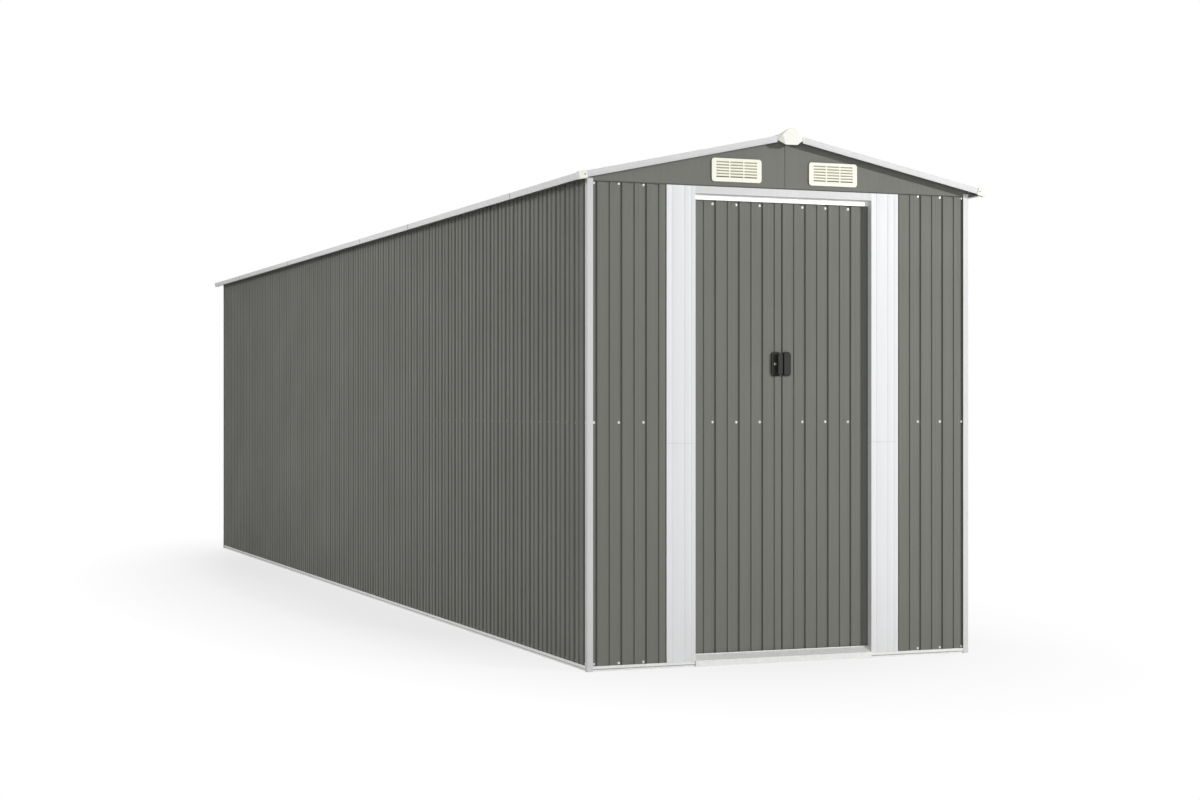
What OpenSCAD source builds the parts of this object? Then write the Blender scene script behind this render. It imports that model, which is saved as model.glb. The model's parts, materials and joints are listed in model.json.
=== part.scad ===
// Long metal storage shed with ribbed steel walls, a low gable roof and two sliding doors.
// Millimetres. X runs across the front, the doors face -Y, Z is up.
// The origin is on the ground under the middle of the shed.

/* [Overall] */
// Width over the white corner trims
wall_w = 1770; // [1600:10:2200]
// Depth over the white corner trims
wall_d = 7720; // [5000:20:9000]
// Height of the wall sheets
wall_h = 1990; // [1800:10:2200]
// Roof pitch in degrees
roof_pitch = 12; // [8:0.5:18]
// Roof underside above the wall sheets, at the wall face
eave_rise = 17; // [10:0.5:30]
// Roof sheet beyond the side walls
eave_overhang = 52; // [35:1:90]
// Roof sheet beyond the end walls
verge_overhang = 45.5; // [30:0.5:80]

/* [Ribbed sheet] */
// Pitch of the deep grooves on the front, the rear and the doors
rib_pitch = 108.3; // [90:0.1:130]
// Width of a groove at the face
groove_w = 25.5; // [20:0.5:34]
// Depth of the deep grooves
rib_depth = 7.5; // [6:0.5:12]
// Depth of the shallow grooves between them
shallow_depth = 4.7; // [3:0.1:6]
// Width of a deep groove's sloping flank
flank_run = 1.5; // [1:0.5:6]
// Thickness of the steel sheet
sheet_t = 1; // [0.6:0.1:1.5]
// Sheets along each side
side_sheets = 10; // [6:1:12]
// Deep grooves on each side or roof sheet
ribs_per_sheet = 7; // [5:1:9]
// Gap between neighbouring sheets
sheet_gap = 0.4; // [0.2:0.1:1]
// Gap between the two halves of a gable
gable_seam = 1.5; // [0.2:0.1:3]
// First deep groove of the left front sheet, from the corner
front_left_groove = 31.5; // [25:0.1:60]
// First whole deep groove of the right front sheet, from the doorway
front_right_groove = 231; // [200:0.1:260]
// First deep groove of the side sheets, from their front end
side_groove = 34.7; // [25:0.1:60]
// Front sheet hidden behind the jamb trims
sheet_lap = 21; // [10:1:30]
// Clearance under the roof sheets and under the ridge cap
roof_seat = 0.2; // [0.1:0.1:0.5]

/* [Rails and trims] */
// Thickness of the folded rails
rail_t = 1.5; // [1:0.1:2.5]
// Width of the base rails
rail_w = 28; // [24:1:36]
// Height of the base rail lips
rail_lip = 22; // [14:1:25]
// Height of the set-back foot of the base rails
rail_foot = 9; // [5:1:10]
// Set-back of the foot under the lip
rail_step = 1.5; // [1:0.1:2]
// Thickness of the corner trims
trim_t = 2; // [1:0.1:3]
// Leg of the corner trims
corner_leg = 25; // [20:1:50]
// Depth of the inner mid rails
mid_rail_depth = 25; // [18:1:40]
// Height of the inner mid rails
mid_rail_h = 40; // [25:1:60]
// Height of the middle bolt row
mid_row_z = 1004; // [900:1:1100]
// Depth of the front and rear top rails
top_rail_depth = 14.5; // [10:0.5:14.5]
// Slope length of the side top rail flange
side_flange = 30; // [20:1:40]

/* [Doorway] */
// Clear width of the doorway
door_open_w = 818; // [700:2:900]
// Width of the white jamb trims
jamb_w = 129; // [110:1:140]
// Thickness of the jamb trims and header
jamb_t = 1.5; // [1:0.1:2]
// Height of the joint in the jamb trims
jamb_joint_z = 918; // [800:1:1000]
// Height of the white header
header_h = 31; // [25:1:60]
// Wall sheets behind the lower edge of the gable sheets
gable_lap = 14; // [8:1:25]
// Height of the bottom track lips
bottom_track_h = 49; // [40:1:60]
// Lip of the top track below the header
track_drop = 22.5; // [10:0.5:40]
// Shelf for the runners below the roof of the top track
shelf_drop = 42; // [38:0.5:60]
// Width of the shelf for the runners
shelf_w = 28; // [20:1:40]
// Raised edge of the shelf
shelf_edge = 8; // [5:0.5:12]
// Clearance between the track ends and the side top rails
track_end_gap = 6.5; // [2:0.5:20]
// Height of the ramp's upright front
ramp_knee = 25; // [24:0.5:30]
// Height of the ramp at the track
ramp_h = 45; // [34:1:47]
// Return of the jamb trims beside the leaves
jamb_return = 32.5; // [28:0.5:33]

/* [Doors] */
// Gap between the closed leaves
leaf_gap = 5; // [4:0.5:10]
// Leaf hidden behind each jamb
leaf_lap = 22; // [15:1:35]
// Clearance of the leaves to the base rail line and in the tracks
leaf_clear = 8; // [7:0.5:12]
// Depth of the leaf frame
leaf_frame_depth = 16; // [12:1:18]
// Width of the leaf frame bars
leaf_bar = 25; // [18:1:40]
// Bottom of the leaves
leaf_bottom = 12; // [10:0.5:16]
// Top of the leaves below the underside of the header
leaf_head_gap = 4; // [2:0.5:10]
// First whole deep groove of the left leaf, from its outer edge
left_leaf_groove = 118.4; // [90:0.1:140]
// First whole deep groove of the right leaf, from its inner edge
right_leaf_groove = 100.6; // [80:0.1:130]
// Width of one handle
handle_w = 45; // [36:0.5:50]
// Height of one handle
handle_h = 103; // [80:1:130]
// Height of the handle centre
handle_z = 1247; // [1100:1:1350]
// Thickness of the handle plate
handle_plate = 5; // [3:0.5:8]
// Grip in front of the plate
grip_depth = 19; // [14:1:22]
// Width of the grip
grip_w = 22; // [16:1:26]
// Radius of the lock barrel in the left handle
lock_r = 6; // [4:0.5:9]

/* [Vents] */
// Width of a vent
vent_w = 227; // [180:1:240]
// Height of a vent
vent_h = 97; // [80:1:104]
// Vent centre from the middle of the gable
vent_x = 224; // [180:1:260]
// Vent centres above the lower edge of the gable
vent_rise = 70; // [60:1:80]
// Plain border at the sides of a vent
vent_side = 18; // [14:1:26]
// Plain border above and below the slots of a vent
vent_border = 12; // [10:1:16]
// Thickness of a vent
vent_t = 6; // [4:0.5:10]
// Rows of louvre slots
vent_rows = 6; // [4:1:8]
// Columns of louvre slots
vent_cols = 3; // [2:1:4]

/* [Roof edge] */
// Thickness of the roof trims
edge_t = 1.5; // [1:0.1:2]
// Depth of the white eave and verge trims
edge_h = 25; // [18:1:35]
// Flange of the roof trims on the sheets
edge_flange = 18; // [12:1:30]
// Depth of the fold in the eave and verge trims
edge_fold = 16; // [10:1:17]
// Flare of the trims below the fold
edge_flare = 2.5; // [1:0.5:2.5]
// Leg of the ridge cap
ridge_leg = 75; // [60:1:110]
// Half width of the ridge end caps on the roof
ridge_end_half = 58; // [46:1:70]
// Half width of the nose of the ridge end caps
ridge_nose_half = 40; // [30:1:44]
// Height of the nose above the ridge line
ridge_end_rise = 20; // [12:1:30]
// Drop of the nose below the ridge line
ridge_end_drop = 48; // [36:1:54]
// Nose in front of the verge trims
ridge_end_proud = 14; // [8:1:30]
// Length of the ridge end caps along the ridge
ridge_end_len = 70; // [50:1:100]
// Length of the corner caps along the verge
cap_len = 36; // [30:1:60]
// Length of the corner caps along the eave
cap_side = 24; // [20:1:60]
// Wall of the moulded caps
cap_t = 3; // [2:0.5:5]
// Distance of the purlins from the ridge, down the slope
purlin_u = 470; // [350:5:600]
// Width and height of the purlins and the ridge beam
beam_w = 40; // [30:1:50]

/* [Hidden] */
$fn = 48;

sheet_grey = [0.46, 0.46, 0.44];
trim_white = [0.91, 0.92, 0.93];
zinc = [0.80, 0.80, 0.79];
vent_ivory = [0.95, 0.95, 0.88];
grip_black = [0.16, 0.16, 0.15];

half_w = wall_w / 2;
half_d = wall_d / 2;
// Distances behind the outer wall face
rail_face = trim_t;
crest_face = rail_face + rail_t;
valley_face = crest_face + rib_depth;
sheet_back = valley_face + sheet_t;
rail_back = rail_face + rail_w;
side_sheet_start = sheet_back + sheet_gap;
top_track_front = sheet_back + top_rail_depth;
leaf_setback = rail_back + leaf_clear;
leaf_back = leaf_setback + rib_depth + sheet_t;
leaf_frame_back = leaf_back + leaf_frame_depth;
bottom_track_w = leaf_frame_back + leaf_clear - rail_back;
shelf_front = leaf_frame_back + leaf_clear;
track_back = shelf_front + shelf_w;
track_half = half_w - sheet_back - side_flange - track_end_gap;

// Heights that hang from the top of the wall sheets
sheet_foot = rail_foot + rail_t;
gable_z = wall_h - gable_lap;
header_z = gable_z - header_h;
top_track_z = header_z - track_drop;
track_shelf_z = gable_z - shelf_drop;
leaf_top = header_z - leaf_head_gap;
top_rail_h = gable_lap + header_h - 2 * jamb_t;
vent_z = gable_z + vent_rise;

// Roof lines: u runs down a slope from the ridge, w is square to it, the sheets' flats at w = 0
roof_depth = rib_depth + sheet_t;
roof_start = roof_depth / 2;
ridge_h = wall_h + eave_rise + half_w * tan(roof_pitch) + roof_depth / cos(roof_pitch);
eave_u = (half_w + eave_overhang) / cos(roof_pitch);
roof_half_d = half_d + verge_overhang;
verge_face = roof_half_d + edge_t;
cap_face = verge_face + cap_t;
nose_face = verge_face + ridge_end_proud;

door_half = door_open_w / 2;
leaf_inner = leaf_gap / 2;
leaf_outer = door_half + leaf_lap;

function roof_under(x) = ridge_h - abs(x) * tan(roof_pitch) - (roof_depth + roof_seat) / cos(roof_pitch);

// One groove from edge to edge, on the face of a sheet or on its back
groove_half = groove_w / 2;
groove_depths = [rib_depth, shallow_depth];
function groove(depth, v) = let (
    run = flank_run * depth / rib_depth,
    turn = v * tan(atan2(rib_depth, flank_run) / 2)
) [
    [-groove_half - turn, v], [run - groove_half - turn, depth + v],
    [groove_half - run + turn, depth + v], [groove_half + turn, v]
];

// Plan outline of a ribbed sheet: flats at v = 0, with deep and shallow grooves by turns
module ribbed_outline(u0, u1, first, pitch) {
    n0 = floor((u0 - first) / pitch) - 1;
    n1 = ceil((u1 - first) / pitch) + 1;
    face = [for (n = [n0 : n1], g = [0, 1], p = groove(groove_depths[g], 0))
        [first + (n + g / 2) * pitch, 0] + p];
    back = [for (n = [n1 : -1 : n0], g = [1, 0], k = [3 : -1 : 0])
        [first + (n + g / 2) * pitch, 0] + groove(groove_depths[g], sheet_t)[k]];
    intersection() {
        polygon(concat(face, back));
        translate([u0, -sheet_t]) square([u1 - u0, roof_depth + 2 * sheet_t]);
    }
}

// Places children drawn from the front wall face inwards, on the front or the rear
module at_front() translate([0, -half_d, 0]) children();
module at_rear() mirror([0, 1, 0]) at_front() children();

// Draws a section in (distance behind the face, height) along X
module along_x(half) rotate([90, 0, 90]) translate([0, 0, -half]) linear_extrude(2 * half) children();

// Draws a section in (distance from the middle, height) along Y
module along_y(y0, y1) translate([0, y1, 0]) rotate([90, 0, 0]) linear_extrude(y1 - y0) children();

// Both sides of the middle plane
module both_sides() for (m = [0, 1]) mirror([m, 0, 0]) children();
module both_ends() for (m = [0, 1]) mirror([0, m, 0]) children();

// Right slope: local X down the slope, Y along the shed, Z square to the roof
module on_slope() translate([0, 0, ridge_h]) rotate([0, roof_pitch, 0]) children();

module rounded_rect(w, h, r) {
    square([w - 2 * r, h], center = true);
    square([w, h - 2 * r], center = true);
    for (x = [-1, 1], y = [-1, 1]) translate([x * (w / 2 - r), y * (h / 2 - r)]) circle(r);
}

// Base rails: folded channels with a lip over a set-back foot, which carries the sheets
module rail_outer_wall() {
    translate([rail_face + rail_step, 0]) square([rail_t, sheet_foot]);
    translate([rail_face, rail_foot]) square([rail_step + rail_t, rail_t]);
    translate([rail_face, rail_foot]) square([rail_t, rail_lip - rail_foot]);
    translate([rail_face + rail_step, 0]) square([rail_w - rail_step, rail_t]);
}
module rail_inner_wall() translate([rail_back - rail_t, 0]) square([rail_t, rail_lip]);
module end_base_rail() {
    along_x(half_w - rail_face) rail_outer_wall();
    along_x(half_w - rail_back) rail_inner_wall();
}
module front_base_rail() { color(zinc) at_front() end_base_rail(); }
module rear_base_rail() { color(zinc) at_rear() end_base_rail(); }
module side_base_rails() {
    color(zinc) both_sides() along_y(rail_back - half_d, half_d - rail_back)
        translate([half_w, 0]) mirror([1, 0]) {
            rail_outer_wall();
            rail_inner_wall();
        }
}

// Bottom track that guides the foot of both leaves
module bottom_track() {
    color(zinc) at_front() along_x(track_half) {
        translate([rail_back, 0]) square([bottom_track_w, rail_t]);
        translate([rail_back, 0]) square([rail_t, bottom_track_h]);
        translate([rail_back + bottom_track_w - rail_t, 0]) square([rail_t, bottom_track_h]);
    }
}

// Folded sill sheet in the doorway, over the base rail and up to the bottom track
module threshold_ramp() {
    color(zinc) at_front() along_x(door_half) polygon([
        [-rail_t, 0], [-rail_t, ramp_knee], [rail_back, ramp_h + rail_t], [rail_back, ramp_h],
        [0, ramp_knee - rail_t], [0, 0]
    ]);
}

// Corner trims
module corner_trim() {
    translate([half_w - corner_leg, 0, 0]) cube([corner_leg, trim_t, wall_h]);
    translate([half_w - trim_t, 0, 0]) cube([trim_t, corner_leg, wall_h]);
}
module front_corner_trims() { color(trim_white) both_sides() at_front() corner_trim(); }
module rear_corner_trims() { color(trim_white) both_sides() at_rear() corner_trim(); }

// Ribbed wall sheets, standing on the shelves of the base rails
module end_sheet(x0, x1, first) {
    translate([0, crest_face, sheet_foot]) linear_extrude(wall_h - sheet_foot)
        ribbed_outline(x0, x1, first, rib_pitch);
}
front_sheet_outer = half_w - sheet_back;
front_sheet_inner = door_half + jamb_w - sheet_lap;
module front_wall_left() {
    color(sheet_grey) at_front()
        end_sheet(-front_sheet_outer, -front_sheet_inner, front_left_groove - half_w);
}
module front_wall_right() {
    color(sheet_grey) at_front()
        end_sheet(front_sheet_inner, front_sheet_outer, front_right_groove + door_half);
}
module rear_wall_panels() {
    color(sheet_grey) both_sides() at_rear()
        end_sheet(sheet_gap / 2, front_sheet_outer, rib_pitch / 4);
}

side_span = wall_d - 2 * side_sheet_start;
side_sheet_w = side_span / side_sheets;
side_pitch = side_sheet_w / ribs_per_sheet;
module side_sheet() {
    ribbed_outline(sheet_gap / 2, side_sheet_w - sheet_gap / 2, side_sheet_w - side_groove, side_pitch);
}
module left_wall_panels() {
    color(sheet_grey) for (i = [0 : side_sheets - 1])
        translate([crest_face - half_w, side_span / 2 - i * side_sheet_w, sheet_foot])
            rotate([0, 0, -90]) linear_extrude(wall_h - sheet_foot) side_sheet();
}
module right_wall_panels() { mirror([1, 0, 0]) left_wall_panels(); }

// White jamb trims: creased covers in two lengths, with a return into the doorway
right_creases = [0.175, 0.593, 0.837];
left_creases = [for (i = [2 : -1 : 0]) 1 - right_creases[i]];
crease_half = 4.5;
crease_depth = 2;
module jamb_face(creases) {
    fold = [[-crease_half, 0], [0, crease_depth], [crease_half, 0]];
    front = [for (c = creases, p = fold) [c * jamb_w, 0] + p];
    back = [for (i = [2 : -1 : 0], k = [2 : -1 : 0]) [creases[i] * jamb_w, jamb_t] + fold[k]];
    translate([door_half, 0]) {
        polygon(concat([[0, 0]], front, [[jamb_w, 0], [jamb_w, jamb_t]], back, [[0, jamb_t]]));
        translate([jamb_w - jamb_t, 0]) square([jamb_t, crest_face + rib_depth / 2]);
    }
}
module jamb_length(z0, z1, creases) {
    translate([0, 0, z0]) linear_extrude(z1 - z0) jamb_face(creases);
    return_top = min(z1, header_z);
    deep_foot = max(z0, bottom_track_h + rail_t);
    deep_top = min(z1, top_track_z - rail_t);
    translate([door_half, 0, z0]) cube([jamb_t, top_track_front, return_top - z0]);
    translate([door_half, 0, deep_foot]) cube([jamb_t, jamb_return, deep_top - deep_foot]);
}
module jamb_trim(creases) {
    jamb_length(rail_lip, jamb_joint_z - sheet_gap / 2, creases);
    jamb_length(jamb_joint_z + sheet_gap / 2, gable_z, creases);
}
module right_jamb_trim() { color(trim_white) at_front() jamb_trim(right_creases); }
module left_jamb_trim() { color(trim_white) mirror([1, 0, 0]) at_front() jamb_trim(left_creases); }

// Header over the doorway, folded back to the top track
module door_header() {
    color(trim_white) at_front() along_x(door_half) {
        translate([0, header_z]) square([jamb_t, gable_z - header_z]);
        translate([0, header_z]) square([top_track_front, jamb_t]);
    }
}

// Top track: front lip, roof and a rear shelf with a raised edge for the runners
module top_track() {
    color(zinc) at_front() along_x(track_half) {
        translate([top_track_front, top_track_z]) square([rail_t, gable_z - top_track_z]);
        translate([top_track_front, gable_z - rail_t]) square([track_back - top_track_front, rail_t]);
        translate([track_back - rail_t, track_shelf_z]) square([rail_t, gable_z - track_shelf_z]);
        translate([shelf_front, track_shelf_z]) square([shelf_w, rail_t]);
        translate([shelf_front, track_shelf_z]) square([rail_t, shelf_edge]);
    }
}

// Folded channel: a web on the sheets and two flanges inwards
module channel_section(depth, h) {
    square([rail_t, h]);
    square([depth, rail_t]);
    translate([0, h - rail_t]) square([depth, rail_t]);
}

// Top rails behind the sheets
module end_top_rail() {
    along_x(front_sheet_outer - rail_t) translate([sheet_back, wall_h - top_rail_h])
        channel_section(top_rail_depth, top_rail_h);
}
module front_top_rail() { color(zinc) at_front() end_top_rail(); }
module rear_top_rail() { color(zinc) at_rear() end_top_rail(); }
module side_top_rails() {
    outer = half_w - sheet_back;
    inner = outer - side_flange;
    drop = rail_t / cos(roof_pitch);
    foot = wall_h - top_rail_h;
    color(zinc) both_sides() along_y(top_track_front - half_d, half_d - top_track_front) polygon([
        [outer, foot], [outer, roof_under(outer)],
        [inner, roof_under(inner)], [inner, roof_under(inner) - drop],
        [outer - rail_t, roof_under(outer - rail_t) - drop], [outer - rail_t, foot]
    ]);
}

// Mid rails behind the sheets
mid_rail_z = mid_row_z - mid_rail_h / 2;
module front_mid_rails() {
    half = (front_sheet_outer - front_sheet_inner) / 2;
    color(zinc) both_sides() at_front() translate([front_sheet_inner + half, 0, 0]) along_x(half)
        translate([sheet_back, mid_rail_z]) channel_section(top_rail_depth, mid_rail_h);
}
module rear_mid_rail() {
    color(zinc) at_rear() along_x(front_sheet_outer - mid_rail_depth - rail_t)
        translate([sheet_back, mid_rail_z]) channel_section(mid_rail_depth, mid_rail_h);
}
module side_mid_rails() {
    color(zinc) both_sides() along_y(top_track_front - half_d, half_d - top_track_front)
        translate([half_w - sheet_back, mid_rail_z]) mirror([1, 0])
            channel_section(mid_rail_depth, mid_rail_h);
}

// Gable sheets: plain halves that meet in the middle, cut out behind the vents
vent_field_w = vent_w - 2 * vent_side;
vent_field_h = vent_h - 2 * vent_border;
module gable_half() {
    seam = gable_seam / 2;
    edge = half_w - rail_face;
    translate([0, crest_face, 0]) rotate([90, 0, 0]) linear_extrude(rail_t) difference() {
        polygon([[seam, gable_z], [edge, gable_z], [edge, roof_under(edge)], [seam, roof_under(seam)]]);
        translate([vent_x, vent_z]) square([vent_field_w, vent_field_h], center = true);
    }
}
module front_gable_panels() { color(sheet_grey) both_sides() at_front() gable_half(); }
module rear_gable_panels() { color(sheet_grey) both_sides() at_rear() gable_half(); }

// Moulded vents with rows of sloping louvre slots
vent_bar = 6;
louvre_slope = 50;
module vent() {
    col = vent_field_w / vent_cols;
    row = vent_field_h / vent_rows;
    translate([vent_x, rail_face, vent_z]) difference() {
        rotate([90, 0, 0]) linear_extrude(vent_t) rounded_rect(vent_w, vent_h, vent_border);
        for (i = [0 : vent_cols - 1], j = [0 : vent_rows - 1])
            translate([(i + 0.5) * col - vent_field_w / 2, -vent_t / 2, (j + 0.5) * row - vent_field_h / 2])
                rotate([-louvre_slope, 0, 0])
                    cube([col - vent_bar, 4 * vent_t, row / 3], center = true);
    }
}
module front_vents() { color(vent_ivory) both_sides() at_front() vent(); }
module rear_vents() { color(vent_ivory) both_sides() at_rear() vent(); }

// Roof framing between the gables
frame_half_d = half_d - crest_face;
module ridge_beam() {
    half = beam_w / 2;
    foot = roof_under(0) - beam_w;
    shoulder = roof_under(half);
    color(zinc) along_y(-frame_half_d, frame_half_d) difference() {
        polygon([[-half, foot], [half, foot], [half, shoulder], [0, roof_under(0)], [-half, shoulder]]);
        translate([rail_t - half, foot - rail_t]) square([beam_w - 2 * rail_t, shoulder - foot]);
    }
}
module roof_purlins() {
    color(zinc) both_sides() on_slope() translate([purlin_u, 0, -roof_depth - roof_seat - beam_w])
        along_y(-frame_half_d, frame_half_d) channel_section(beam_w, beam_w);
}

// Ribbed roof sheets, ribs down the slope
roof_sheet_w = 2 * roof_half_d / side_sheets;
roof_rib_pitch = roof_sheet_w / ribs_per_sheet;
module right_roof_panels() {
    color(sheet_grey) on_slope() for (i = [0 : side_sheets - 1])
        translate([roof_start, roof_half_d - i * roof_sheet_w, 0]) rotate([0, 90, 0]) rotate([0, 0, -90])
            linear_extrude(eave_u - roof_start) roof_sheet();
}
module roof_sheet() {
    ribbed_outline(sheet_gap / 2, roof_sheet_w - sheet_gap / 2, roof_rib_pitch / 4, roof_rib_pitch);
}
module left_roof_panels() { mirror([1, 0, 0]) right_roof_panels(); }

// Folded ridge cap on the flats
module ridge_cap() {
    rise = edge_t / cos(roof_pitch);
    leg_x = ridge_leg * cos(roof_pitch);
    leg_z = ridge_leg * sin(roof_pitch);
    cap_half = nose_face - ridge_end_len;
    color(trim_white) along_y(-cap_half, cap_half) translate([0, ridge_h + roof_seat]) polygon([
        [-leg_x, -leg_z], [0, 0], [leg_x, -leg_z], [leg_x, rise - leg_z], [0, rise], [-leg_x, rise - leg_z]
    ]);
}

// White trims along the eaves and the verges, flared below a fold
module edge_face() {
    polygon([
        [0, edge_t], [0, -edge_fold], [edge_flare, -edge_h], [edge_flare + edge_t, -edge_h],
        [edge_t, -edge_fold], [edge_t, edge_t]
    ]);
}
module eave_trims() {
    half = cap_face - cap_side;
    back = edge_flange / 2;
    color(trim_white) both_sides() on_slope() along_y(-half, half) translate([eave_u, 0]) {
        edge_face();
        translate([-edge_flange, 0]) square([edge_flange, edge_t]);
        translate([-back, -edge_h]) square([back + edge_flare + edge_t / 2, edge_t]);
    }
}
module verge_trim() {
    top = (ridge_end_half + sheet_gap) / cos(roof_pitch) + edge_h * tan(roof_pitch);
    run = eave_u + edge_t + cap_t - cap_len - top;
    on_slope() translate([top, -roof_half_d, 0]) {
        rotate([90, 0, 90]) linear_extrude(run) mirror([1, 0]) edge_face();
        cube([run, edge_flange, edge_t]);
    }
}
module front_verge_trims() { color(trim_white) both_sides() verge_trim(); }
module rear_verge_trims() { color(trim_white) both_sides() mirror([0, 1, 0]) verge_trim(); }

// Moulded caps on the ridge ends: a shield-shaped nose and a cover over the ridge
module ridge_end_cap() {
    half = ridge_end_half;
    nose = ridge_nose_half;
    foot = 2 * nose / 3;
    peak = nose / 4;
    shoulder = ridge_end_drop / 8;
    fall = half * tan(roof_pitch);
    cover = cap_t + edge_t;
    translate([0, 0, ridge_h + roof_seat]) {
        hull() {
            along_y(-nose_face, cap_t - nose_face) polygon([
                [-foot, -ridge_end_drop], [foot, -ridge_end_drop], [nose, -shoulder], [peak, ridge_end_rise],
                [-peak, ridge_end_rise], [-nose, -shoulder]
            ]);
            along_y(-verge_face, -roof_half_d) polygon([
                [-half, cover - fall], [-half, -fall - edge_fold], [-foot, peak - ridge_end_drop],
                [foot, peak - ridge_end_drop], [half, -fall - edge_fold], [half, cover - fall], [0, cover]
            ]);
        }
        along_y(-roof_half_d, ridge_end_len - nose_face) polygon([
            [-half, -fall], [0, 0], [half, -fall], [half, cover - fall], [0, cover], [-half, cover - fall]
        ]);
    }
}
module ridge_end_caps() { color(vent_ivory) both_ends() ridge_end_cap(); }

// Moulded caps on the four roof corners
module eave_corner_cap() {
    cap_u = eave_u + edge_t + cap_t;
    on_slope() translate([cap_u - cap_len, -cap_face, -edge_h - cap_t]) difference() {
        cube([cap_len, cap_side, edge_h + edge_t + 2 * cap_t]);
        translate([-cap_t, cap_face - roof_half_d, -cap_t])
            cube([cap_len + cap_t + eave_u - cap_u, cap_side, edge_h + 2 * cap_t]);
    }
}
module eave_corner_caps() { color(vent_ivory) both_ends() both_sides() eave_corner_cap(); }

// Door leaves: each has a ribbed sheet, a frame, a handle and running gear
module leaf_sheet(x0, x1, first) {
    at_front() translate([0, leaf_setback, leaf_bottom]) linear_extrude(leaf_top - leaf_bottom)
        ribbed_outline(x0, x1, first, rib_pitch);
}
module leaf_stiles() {
    at_front() for (x = [leaf_inner, leaf_outer - leaf_bar])
        translate([x + leaf_bar, leaf_back, leaf_bottom]) linear_extrude(leaf_top - leaf_bottom)
            rotate(90) channel_section(leaf_frame_depth, leaf_bar);
}
module leaf_rails() {
    half = (leaf_outer - leaf_inner) / 2 - leaf_bar;
    at_front() translate([(leaf_outer + leaf_inner) / 2, 0, 0]) along_x(half)
        for (z = [leaf_bottom, mid_row_z - leaf_bar / 2, leaf_top - leaf_bar])
            translate([leaf_back, z]) channel_section(leaf_frame_depth, leaf_bar);
}

// Handles: a plate with a hooked grip along the meeting edge
handle_corner = 8;
scoop_r = 11;
module leaf_handle() {
    centre = leaf_inner + handle_w / 2;
    at_front() translate([centre, leaf_setback, handle_z]) {
        rotate([90, 0, 0]) linear_extrude(handle_plate) rounded_rect(handle_w, handle_h, handle_corner);
        difference() {
            rotate([90, 0, 0]) translate([(grip_w - handle_w) / 2, 0, handle_plate])
                linear_extrude(grip_depth) rounded_rect(grip_w, handle_h - 2 * handle_corner, handle_corner);
            translate([grip_w - handle_w / 2, -handle_plate - scoop_r / 2, handle_corner - handle_h / 2])
                cylinder(r = scoop_r, h = handle_h - 2 * handle_corner);
        }
    }
}
module left_door_lock() {
    lock_x = leaf_inner + grip_w + lock_r + run_gap;
    color(zinc) at_front() translate([-lock_x, leaf_setback - handle_plate, handle_z])
        rotate([90, 0, 0]) cylinder(r = lock_r, h = handle_plate);
}

// Runners: a hanger plate, its arm and a block on the shelf, and a shoe in the bottom track
runner_len = 50;
hanger_t = 2;
hanger_drop = 75;
run_gap = 0.5;
side_gap = 1.5;
block_h = 16;
module runner() {
    block_z = track_shelf_z + rail_t + run_gap;
    arm_z = block_z + block_h;
    block_y = shelf_front + rail_t + 2 * side_gap;
    block_w = track_back - rail_t - 2 * side_gap - block_y;
    foot = leaf_top - hanger_drop;
    translate([0, leaf_frame_back, foot]) cube([runner_len, hanger_t, arm_z + hanger_t - foot]);
    translate([0, leaf_frame_back, arm_z]) cube([runner_len, block_y + block_w - leaf_frame_back, hanger_t]);
    translate([0, block_y, block_z]) cube([runner_len, block_w, block_h]);
}
module guide_shoe() {
    lift = rail_t + side_gap;
    translate([0, rail_back + lift, lift]) cube([runner_len, bottom_track_w - 2 * lift, leaf_bottom - lift]);
}
module leaf_runners() {
    at_front() for (x = [leaf_inner + leaf_bar, leaf_outer - leaf_bar - runner_len]) translate([x, 0, 0]) {
        runner();
        guide_shoe();
    }
}
module left_door_panel() {
    color(sheet_grey) leaf_sheet(-leaf_outer, -leaf_inner, left_leaf_groove - leaf_outer);
}
module right_door_panel() {
    color(sheet_grey) leaf_sheet(leaf_inner, leaf_outer, right_leaf_groove + leaf_inner);
}
module right_door_stiles() { color(zinc) leaf_stiles(); }
module right_door_rails() { color(zinc) leaf_rails(); }
module right_door_handle() { color(grip_black) leaf_handle(); }
module right_door_runners() { color(grip_black) leaf_runners(); }
module left_door_stiles() { mirror([1, 0, 0]) right_door_stiles(); }
module left_door_rails() { mirror([1, 0, 0]) right_door_rails(); }
module left_door_handle() { mirror([1, 0, 0]) right_door_handle(); }
module left_door_runners() { mirror([1, 0, 0]) right_door_runners(); }

front_base_rail();
rear_base_rail();
side_base_rails();
bottom_track();
threshold_ramp();
front_corner_trims();
rear_corner_trims();
front_wall_left();
front_wall_right();
left_wall_panels();
right_wall_panels();
rear_wall_panels();
left_jamb_trim();
right_jamb_trim();
door_header();
top_track();
front_top_rail();
rear_top_rail();
side_top_rails();
front_mid_rails();
side_mid_rails();
rear_mid_rail();
front_gable_panels();
rear_gable_panels();
front_vents();
rear_vents();
ridge_beam();
roof_purlins();
left_roof_panels();
right_roof_panels();
ridge_cap();
eave_trims();
front_verge_trims();
rear_verge_trims();
ridge_end_caps();
eave_corner_caps();
left_door_panel();
left_door_stiles();
left_door_rails();
left_door_handle();
left_door_lock();
left_door_runners();
right_door_panel();
right_door_stiles();
right_door_rails();
right_door_handle();
right_door_runners();
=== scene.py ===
"""Dresses the metal storage shed: bends, mouldings, fixings, finishes, light and camera."""
import json
import math

import bmesh
import bpy
from mathutils import Matrix, Vector

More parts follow.
